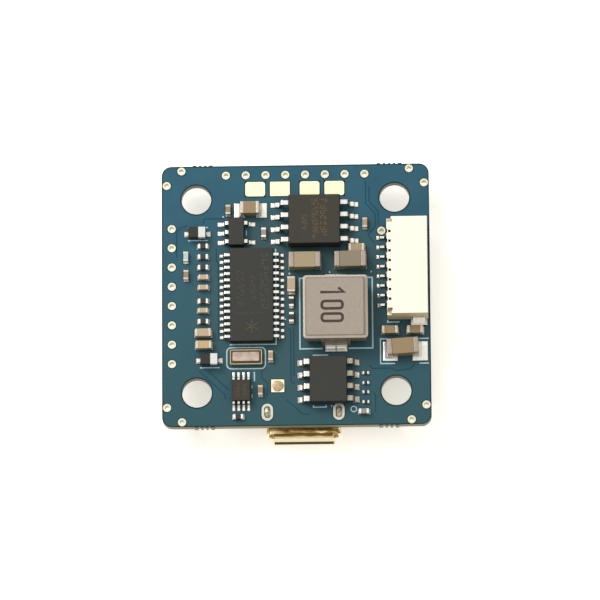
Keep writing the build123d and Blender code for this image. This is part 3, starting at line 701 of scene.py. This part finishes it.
# ------------------------------------------------------------------ solder
SOLDERED = {    # nodes that stand on pads, and how far solder climbs them, in millimetres
    "upper": {"large_capacitor_ends": 0.4, "small_capacitor_ends": 0.28, "resistor_ends": 0.2,
              "power_led_ends": 0.2, "osd_chip_leads": 0.1, "flash_chip_leads": 0.18,
              "converter_chip_leads": 0.18, "regulator_leads": 0.13, "amplifier_leads": 0.1,
              "diode_leads": 0.12, "inductor_terminals": 0.16, "connector_contacts": 0.1,
              "connector_tabs": 0.15},
    "under": {"underside_capacitor_ends": 0.28, "underside_resistor_ends": 0.2,
              "status_led_ends": 0.25, "processor_leads": 0.1, "logic_regulator_leads": 0.13,
              "button_terminals": 0.12, "usb_contacts": 0.08},
}
FOOT_HEIGHT = 0.24 * MM     # what lies nearer the board than this belongs to a foot
FLAT_REACH = 0.36 * MM      # solder runs out further from the inductor's wide feet
PAD_T = 0.05 * MM           # how far the tinned pads stand off the board
SOLDER_T = 0.045 * MM
SOLDER_RIM = 0.09 * MM      # the width over which solder thins out to the pad's rim
CLIMB_RIM = 0.12 * MM       # and the width over which it may not climb in full
SOLDER_GRAIN = 0.06 * MM    # the spacing of its mesh
PAD_GAP, HOLE_GAP, BIG_PAD_GAP, BOLT_GAP = 0.06 * MM, 0.09 * MM, 0.1 * MM, 0.13 * MM
RIM_WIDTH = 0.12 * MM
CORNER = 1.0 * MM           # the radius of the board's corners
HAIR = 1e-7                 # keeps comparisons and arcs clear of rounding


def feet(side):
    """Where each soldered piece touches down: (low x, low y, high x, high y, climb, reach)."""
    found = []
    for node, climb in SOLDERED[side].items():
        points = mesh_points(NODES[node].data)
        if side == "upper":
            points = points[points[:, 2] < TOP + FOOT_HEIGHT]
        else:
            points = points[points[:, 2] > -FOOT_HEIGHT]
        for low, high, _ in islands(node):
            inside = np.ones(len(points), bool)
            for axis in (0, 1):
                inside &= points[:, axis] > low[axis] - HAIR
                inside &= points[:, axis] < high[axis] + HAIR
            if inside.any():
                a, b = points[inside].min(0), points[inside].max(0)
                reach = FLAT_REACH if node == "inductor_terminals" else max(0.2, 0.6 * climb) * MM
                found.append((a[0], a[1], b[0], b[1], climb * MM, reach))
    return found


def fillet(bm, low, high, foot, base, side):
    """Solder on one pad: thin at the pad's rim, and drawn up in a hollow curve to the metal."""
    half_x, half_y = (high.x - low.x) / 2, (high.y - low.y) / 2
    counts = [max(6, min(30, round(2 * half / SOLDER_GRAIN))) for half in (half_x, half_y)]
    grid = []
    for i in range(counts[0] + 1):
        u = -math.cos(math.pi * i / counts[0])      # rows crowd towards the rim
        x = (low.x + high.x) / 2 + half_x * u
        row = []
        for j in range(counts[1] + 1):
            v = -math.cos(math.pi * j / counts[1])
            y = (low.y + high.y) / 2 + half_y * v
            rim = min(half_x * (1 - abs(u)), half_y * (1 - abs(v)))
            rise = SOLDER_T * math.sqrt(min(1.0, rim / SOLDER_RIM))
            if foot is not None:
                x0, y0, x1, y1, climb, reach = foot
                gap = math.hypot(max(x0 - x, 0, x - x1), max(y0 - y, 0, y - y1))
                rise += climb * max(0.0, 1 - gap / reach) ** 2 * min(1.0, rim / CLIMB_RIM)
            row.append(bm.verts.new((x, y, base + side * rise)))
        grid.append(row)
    for last, row in zip(grid, grid[1:]):
        for j in range(counts[1]):
            bm.faces.new((last[j], row[j], row[j + 1], last[j + 1]))
    edge = (grid[0][:-1] + [row[-1] for row in grid[:-1]]
            + grid[-1][:0:-1] + [row[0] for row in grid[:0:-1]])
    bm.faces.new([bm.verts.new((v.co.x, v.co.y, base - side * MASK_T)) for v in edge])


def lay_solder():
    """Solder on every tinned pad, and a dark ring of bare laminate round it."""
    for side, name, node in ((1, "upper", "upper_pads"), (-1, "under", "under_pads")):
        solder, gap = bmesh.new(), bmesh.new()
        face = TOP if side > 0 else 0.0
        touching = feet(name)
        for low, high, _ in islands(node):
            over = [foot for foot in touching
                    if min(high.x, foot[2]) > max(low.x, foot[0])
                    and min(high.y, foot[3]) > max(low.y, foot[1])]
            fillet(solder, low, high, over[0] if over else None, face + side * PAD_T, side)
            plate(gap, around(low, high, PAD_GAP, PAD_GAP), *layer(face, side))
        piece(name + "_solder", solder, "solder", smooth=True)
        piece(name + "_pad_clearance", gap, "mask_gap")


def ring_clearances():
    """Dark rings round the holes and the big pads, and round the board's rim."""
    bm = bmesh.new()
    for side, face in ((1, TOP), (-1, 0.0)):
        for part in islands("plated_holes"):
            low, high, _ = part
            centre, radius = middle(part), (high.x - low.x) / 2
            if is_slot(part):
                outer = around(low, high, HOLE_GAP, radius + HOLE_GAP - HAIR)
                inner = around(low, high, 0, radius - HAIR)
            else:
                outer, inner = (circle(centre.x, centre.y, radius + gap) for gap in (HOLE_GAP, 0))
            band(bm, outer, inner, *layer(face, side))
    for mount in frame["record"]["mounts"]:
        if mount["kind"] == "bore":
            x, y, _ = mount["pos_m"]
            radius = mount["dims"]["r_mm"] * MM
            band(bm, circle(x, y, radius + BOLT_GAP, 64), circle(x, y, radius + 0.002 * MM, 64),
                 *layer(TOP, 1))
    for low, high, _ in islands("power_pads") + islands("test_pads"):
        plate(bm, around(low, high, BIG_PAD_GAP, BIG_PAD_GAP), *layer(TOP, 1))
    piece("hole_clearances", bm, "mask_gap")

    bm = bmesh.new()
    outer, inner = (rounded(-reach, -reach, reach, reach, CORNER - HALF + reach, 10)
                    for reach in (HALF, HALF - RIM_WIDTH))
    band(bm, outer, inner, *layer(TOP, 1))
    piece("board_rim", bm, "rim")


# ------------------------------------------------------------------ printing
SILK_LINES = [      # (width, points) in millimetres
    (0.12, [(-2.02, 4.8), (-2.02, -5.08), (-6.7, -5.08)]),
    (0.12, [(1.64, -6.27), (3.18, -6.27)]),
    (0.12, [(1.68, -11.42), (1.68, -11.62), (2.95, -11.62), (2.95, -11.42)]),
    (0.1, [(3.5, -11.42), (3.5, -11.62)]),
    (0.1, [(-4.96, 6.2), (-4.96, 6.8)]),
    (0.12, [(-4.23, -7.91), (-4.23, -8.86)]),
    (0.08, [(-4.47, -9.25), (-4.47, -9.6)]),
    (0.08, [(-4.47, -10.2), (-4.47, -10.6)]),
    (0.14, [(2.7, 1.7), (0.37, 1.7), (0.37, -5.6), (2.62, -5.6)]),
    (0.14, [(5.3, 1.7), (7.68, 1.7), (7.68, -5.6), (5.25, -5.6)]),
    (0.14, [(9.2, -2.75), (9.2, -2.95), (10.4, -2.95)]),
    (0.12, [(-10.85, 5.77), (-8.85, 5.77)]),
    (0.12, [(-10.85, 7.12), (-10.55, 7.12)]),
    (0.12, [(-9.1, 7.12), (-8.85, 7.12)]),
    (0.12, [(-9.7, -7.42), (-7.7, -7.42)]),
    (0.12, [(9.2, -4.68), (8.45, -4.68), (8.45, -7.23), (9.9, -7.23)]),
    (0.12, [(12.35, -4.68), (13.3, -4.68)]),
    (0.12, [(12.35, -7.23), (13.3, -7.23)]),
]
UNDER_SILK_LINES = [
    (0.12, [(-5.6, 6.9), (-6.2, 6.9), (-6.2, 6.3)]),
    (0.12, [(5.6, 6.9), (6.2, 6.9), (6.2, 6.3)]),
    (0.12, [(-5.6, -5.5), (-6.2, -5.5), (-6.2, -4.9)]),
    (0.12, [(5.6, -5.5), (6.2, -5.5), (6.2, -4.9)]),
    (0.12, [(8.1, 0.2), (8.1, 3.8), (11.7, 3.8), (11.7, 0.2)]),
    (0.12, [(-6.6, -5.8), (-2.9, -5.8)]),
    (0.12, [(-10.7, -2.7), (-7.9, -2.7)]),
    (0.12, [(-10.7, -5.7), (-7.9, -5.7)]),
    (0.12, [(-4.4, 10.6), (4.4, 10.6)]),
]
SILK_DOTS = [(-1.1, -2.5), (-7.3, 8.2), (-0.65, 2.2), (7.6, 2.3), (3.4, 2.3)]


def print_silk():
    bm = bmesh.new()
    levels = (TOP, TOP + SILK_T)
    draw(bm, SILK_LINES, *levels)
    low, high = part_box("crystal_base")
    stroke(bm, around(low, high, 0.34 * MM, 0.45 * MM), 0.12 * MM, *levels, closed=True)
    stroke(bm, circle(5.71 * MM, -11.86 * MM, 0.28 * MM, 20), 0.11 * MM, *levels, closed=True)
    for x, y in SILK_DOTS:
        plate(bm, circle(x * MM, y * MM, 0.09 * MM, 12), *levels)
    piece("upper_silkscreen", bm, "silk")
    bm = bmesh.new()
    draw(bm, UNDER_SILK_LINES, -SILK_T, 0)
    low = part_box("processor_body")[0]
    plate(bm, circle(low.x - 0.9 * MM, low.y - 0.6 * MM, 0.2 * MM, 16), -SILK_T, 0)
    piece("under_silkscreen", bm, "silk")


TRACE_GAPS = [      # edges of the copper under the mask, in millimetres
    [(7.0, 11.8), (7.1, 11.5), (7.1, 9.4), (8.05, 8.3), (8.05, 7.0), (7.3, 6.1), (8.0, 5.2)],
    [(7.45, 11.2), (7.45, 9.6), (8.35, 8.6), (8.35, 7.1)],
    [(-9.75, -7.75), (-7.2, -10.2), (-7.1, -10.7)],
    [(-8.8, -7.8), (-6.8, -9.75)],
    [(-0.75, -3.4), (-0.55, -3.8), (-0.55, -8.9), (-0.2, -9.2)],
    [(-0.25, -3.4), (-0.25, -8.4)],
    [(7.3, -7.4), (7.6, -7.7), (9.6, -7.7), (9.9, -8.0), (11.4, -7.8), (11.9, -7.3)],
    [(-7.2, 8.0), (-9.2, 8.0), (-9.3, 7.5)],
    [(-10.9, 7.3), (-11.6, 7.1), (-12.0, 6.7), (-12.0, 4.0)],
    [(-8.0, 4.9), (-8.0, 3.6), (-7.8, 3.4), (-7.8, -4.6)],
    [(-3.5, -7.6), (-3.5, -8.5), (-2.9, -9.1), (-2.9, -10.4)],
    [(7.9, -12.2), (7.9, -10.4), (7.7, -10.1)],
    [(-1.0, -10.8), (0.6, -12.3), (1.4, -12.3)],
]


def etch_traces():
    bm = bmesh.new()
    draw(bm, [(0.12, points) for points in TRACE_GAPS], TOP, TOP + MASK_T / 2)
    piece("upper_trace_gaps", bm, "trace_gap")


# ------------------------------------------------------------------ marks on the components
GLYPH_NODES = [(0, 0), (1, 0), (0, 1), (1, 1), (0, 2), (1, 2)]
GLYPH_EDGES = [(0, 1), (2, 3), (4, 5), (0, 2), (1, 3), (2, 4), (3, 5), (0, 3), (2, 5)]


def glyph(bm, x, y, width, height, turn, low, high, weight):
    """A mark as big as a printed character that stands for none: strokes picked from a grid."""
    c, s = math.cos(turn), math.sin(turn)
    places = []
    for u, v in GLYPH_NODES:
        u, v = (u - 0.5) * width, (v / 2 - 0.5) * height
        places.append((x + u * c - v * s, y + u * s + v * c))
    for a, b in rng.sample(GLYPH_EDGES, 4):
        stroke(bm, (places[a], places[b]), weight, low, high)


PIN_ONE_RINGS = [       # node, corner, radius in millimetres
    ("osd_chip_body", (1, -1), 0.28),
    ("flash_chip_body", (-1, -1), 0.3),
    ("converter_chip_body", (1, -1), 0.3),
    ("processor_body", (-1, -1), 0.45),
    ("gyro_chip", (-1, 1), 0.2),
]


def chip_face(node):
    """A chip's box, and the levels of a thin layer on the side that looks away from the board."""
    low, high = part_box(node)
    return low, high, (layer(high.z, 1) if low.z > 0 else layer(low.z, -1))


def laser_marks():
    """Rows of faint marks where a maker prints a chip; they spell nothing."""
    warm, plain = bmesh.new(), bmesh.new()
    rows = [    # mesh, node, offset from the middle (x, y), along Y?, characters, size, weight
        (warm, "flash_chip_body", (1.0, 0.1), True, 7, (0.56, 0.62), 0.1),
        (warm, "flash_chip_body", (0.1, 0.05), True, 10, (0.42, 0.6), 0.09),
        (warm, "flash_chip_body", (-1.0, -0.35), True, 4, (0.4, 0.5), 0.08),
        (plain, "osd_chip_body", (1.3, 1.35), True, 9, (0.66, 0.72), 0.08),
        (plain, "osd_chip_body", (0.1, 0.7), True, 5, (0.52, 0.6), 0.06),
        (plain, "osd_chip_body", (-1.1, 0.6), True, 6, (0.62, 0.7), 0.06),
        (warm, "amplifier_body", (-0.25, 0.0), True, 4, (0.34, 0.3), 0.04),
        (warm, "amplifier_body", (0.35, 0.0), True, 4, (0.34, 0.3), 0.04),
        (plain, "processor_body", (0.0, 1.6), False, 11, (0.6, 0.8), 0.08),
        (plain, "processor_body", (0.0, 0.2), False, 9, (0.6, 0.8), 0.08),
        (plain, "processor_body", (0.0, -1.2), False, 6, (0.6, 0.8), 0.08),
        (plain, "gyro_chip", (0.0, 0.2), False, 4, (0.42, 0.5), 0.05),
    ]
    for bm, node, (dx, dy), upright, count, (wide, tall), weight in rows:
        low, high, levels = chip_face(node)
        centre = (low + high) / 2
        turn = math.radians(-90 if upright else 0)
        for i in range(count):
            step = (i - (count - 1) / 2) * wide * MM
            x = centre.x + dx * MM + (0 if upright else step)
            y = centre.y + dy * MM + (-step if upright else 0)
            glyph(bm, x, y, wide * 0.62 * MM, tall * MM, turn, *levels, weight * MM)
    low, high, levels = chip_face("osd_chip_body")
    x, y = (low.x + high.x) / 2, low.y + 2.9 * MM
    stroke(plain, [(x - 1.7 * MM, y), (x + 1.2 * MM, y)], 0.05 * MM, *levels)
    y -= 1.35 * MM      # a plain six-spoked star
    for turn in (0, 60, 120):
        dx, dy = (0.72 * MM * wave(math.radians(turn)) for wave in (math.sin, math.cos))
        stroke(warm, [(x - dx, y - dy), (x + dx, y + dy)], 0.07 * MM, *levels)
    piece("laser_marks", plain, "laser")
    piece("laser_marks_warm", warm, "laser_warm")


def ring_pin_ones():
    """A shallow ring in the corner of each chip where its first lead is."""
    bm = bmesh.new()
    for node, corner, radius in PIN_ONE_RINGS:
        low, high, levels = chip_face(node)
        inset = (0.5 + radius * 1.3) * MM
        x = (high.x - inset) if corner[0] > 0 else (low.x + inset)
        y = (high.y - inset) if corner[1] > 0 else (low.y + inset)
        band(bm, circle(x, y, radius * MM, 28), circle(x, y, (radius - 0.05) * MM, 28), *levels)
    piece("pin_one_rings", bm, "mould_dark")


def core_value():
    """The inductor's value, 100, printed to read from the right, and its top's mould line, a real
    step drawn in painted shade.
    """
    low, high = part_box("inductor_core")
    levels = layer(high.z, 1)
    centre = (low + high) / 2
    tall, wide, pitch, weight = 2.35 * MM, 0.76 * MM, 1.3 * MM, 0.28 * MM
    left = centre.x - 1.5 * MM
    bm = bmesh.new()
    for i, digit in enumerate("100"):
        y = centre.y + 0.14 * MM + (1 - i) * pitch
        if digit == "1":
            flag = (left + tall - 0.55 * MM, y + 0.45 * MM)
            stroke(bm, [(left, y), (left + tall, y), flag], weight, *levels)
        else:
            outline = rounded(left + weight / 2, y - wide / 2, left + tall - weight / 2,
                              y + wide / 2, 0.3 * MM)
            stroke(bm, outline, weight, *levels, closed=True)
    piece("inductor_value", bm, "core_ink")
    bm = bmesh.new()
    outer = rounded(low.x + 0.26 * MM, low.y + 0.2 * MM, high.x - 0.24 * MM, high.y - 0.3 * MM,
                    0.25 * MM)
    inner = rounded(low.x + 0.32 * MM, low.y + 0.33 * MM, high.x - 0.45 * MM, high.y - 0.34 * MM,
                    0.2 * MM)
    band(bm, outer, inner, *levels)
    piece("inductor_mould_line", bm, "core_painted_shade")


def diode_bands():
    """The white cathode band over each diode's body."""
    bm = bmesh.new()
    lift, sink = 0.012 * MM, 0.02 * MM      # it stands proud of the body and starts within it
    for low, high, _ in islands("diode_bodies"):
        draft = (high.z - low.z) / 2 * math.tan(math.radians(5))
        waist = (low.z + high.z) / 2
        section = [(low.y - lift, waist), (low.y + draft - lift, high.z + lift),
                   (high.y - draft + lift, high.z + lift), (high.y + lift, waist),
                   (high.y - sink, waist), (high.y - draft - sink, high.z - sink),
                   (low.y + draft + sink, high.z - sink), (low.y + sink, waist)]
        ends = []
        for along in (0.57, 0.96):
            x = low.x + (high.x - low.x) * along
            ends.append([bm.verts.new((x, y, z)) for y, z in section])
        skin(bm, ends)
        for end in ends:
            for i in range(3):
                bm.faces.new((end[i], end[i + 1], end[6 - i], end[7 - i]))
    piece("diode_bands", bm, "band")


# ------------------------------------------------------------------ beads and edges
def dome(bm, x, y, radius_x, radius_y, base, height, wobble, rings=8, count=36):
    """A round or oval bead of solder."""
    levels = []
    for k in range(rings):
        angle = math.pi / 2 * k / rings
        ring = []
        for i in range(count):
            turn = 2 * math.pi * i / count
            sway = math.cos(angle) * (1 + wobble * math.sin(3 * turn + 1.0) * math.cos(angle))
            ring.append(bm.verts.new((x + radius_x * math.cos(turn) * sway,
                                      y + radius_y * math.sin(turn) * sway,
                                      base + height * math.sin(angle))))
        levels.append(ring)
    bm.faces.new(levels[0][::-1])
    skin(bm, levels)
    tip = bm.verts.new((x, y, base + height))
    for i in range(count):
        bm.faces.new((levels[-1][i], levels[-1][(i + 1) % count], tip))


def set_beads():
    """Solder in the slots round the USB socket's tabs, and the bead on the test pad."""
    bm = bmesh.new()
    for part in islands("plated_holes"):
        if is_slot(part):
            low, high, _ = part
            centre = middle(part)
            dome(bm, centre.x + 0.03 * MM, centre.y, (high.x - low.x) / 2 - 0.2 * MM,
                 (high.y - low.y) / 2 - 0.26 * MM, TOP - 0.1 * MM, 0.24 * MM, wobble=0.06)
    piece("slot_solder", bm, "slot_bead", smooth=True)
    bm = bmesh.new()
    low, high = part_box("test_pads")
    centre = (low + high) / 2
    dome(bm, centre.x + 0.02 * MM, centre.y - 0.02 * MM, 0.58 * MM, 0.57 * MM,
         high.z - 0.01 * MM, 0.12 * MM, wobble=0.03)
    piece("test_bead", bm, "bead", smooth=True)


def draw_lead_lines():
    """Dark lines where the light turns at the toes of the leads."""
    bm = bmesh.new()
    for node, chip, above in (("flash_chip_leads", "flash_chip_body", 0.16),
                              ("connector_contacts", "connector_housing", 0.2)):
        body = middle(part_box(chip)).x
        for low, high, _ in islands(node):
            if low.x < body:
                x0, x1 = low.x + 0.02 * MM, low.x + 0.14 * MM
            else:
                x0, x1 = high.x - 0.14 * MM, high.x - 0.02 * MM
            level = low.z + above * MM
            outline = rounded(x0, low.y - 0.02 * MM, x1, high.y + 0.02 * MM, 0.02 * MM, 2)
            plate(bm, outline, level, level + 0.02 * MM)
    piece("lead_lines", bm, "tin_shade")


def draw_solder_seams():
    """A line where the solder of each of the inductor's wide feet parts in two."""
    bm = bmesh.new()
    low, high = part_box("inductor_terminals")
    x = (low.x + high.x) / 2 - 0.02 * MM
    climb = SOLDERED["upper"]["inductor_terminals"] * MM
    for toe, way in ((low.y, -1), (high.y, 1)):
        rows = []
        for step in range(-5, 8):
            out = 0.3 * MM * step / 7
            level = TOP + 0.098 * MM + climb * (1 - max(0.0, out) / FLAT_REACH) ** 2
            rows.append([bm.verts.new((x + side * 0.06 * MM, toe + way * out, level + lift))
                         for side, lift in ((-1, 0), (1, 0), (1, 0.015 * MM), (-1, 0.015 * MM))])
        bar(bm, rows)
    piece("solder_seams", bm, "tin_brownish")


def draw_usb_lip():
    """The turned edge of the USB socket's lower lip, dark with a painted reflection."""
    low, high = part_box("usb_shell")
    centre = (low.x + high.x) / 2
    bm = bmesh.new()
    start, end = low.y + 0.005 * MM, low.y + 0.23 * MM
    tip = low.z + 0.168 * MM
    inner = tip + (end - start) * 0.37 / 0.57       # the lip's slope
    thick = 0.02 * MM
    section = [(start, tip), (end, inner), (end, inner + thick), (start, tip + thick)]
    bar(bm, [[bm.verts.new((centre + side * 2.98 * MM, y, z)) for y, z in section]
             for side in (-1, 1)])
    piece("usb_lip_edge", bm, "usb_painted_dark_reflection")


def draw_crystal_rim():
    """The gold rim round the crystal's ceramic base, its colour partly a painted highlight on the
    lit edge.
    """
    low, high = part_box("crystal_base")
    bm = bmesh.new()
    band(bm, around(low, high, 0, 0.12 * MM), around(low, high, -0.07 * MM, 0.06 * MM),
         *layer(high.z, 1))
    piece("crystal_gold_rim", bm, "seal_edge_and_painted_highlight")


stand_camera()
hang_ceiling()
hang_key_light()
lay_floor()
paint_frame()
lay_solder()
ring_clearances()
print_silk()
etch_traces()
laser_marks()
ring_pin_ones()
core_value()
diode_bands()
set_beads()
draw_lead_lines()
draw_solder_seams()
draw_usb_lip()
draw_crystal_rim()
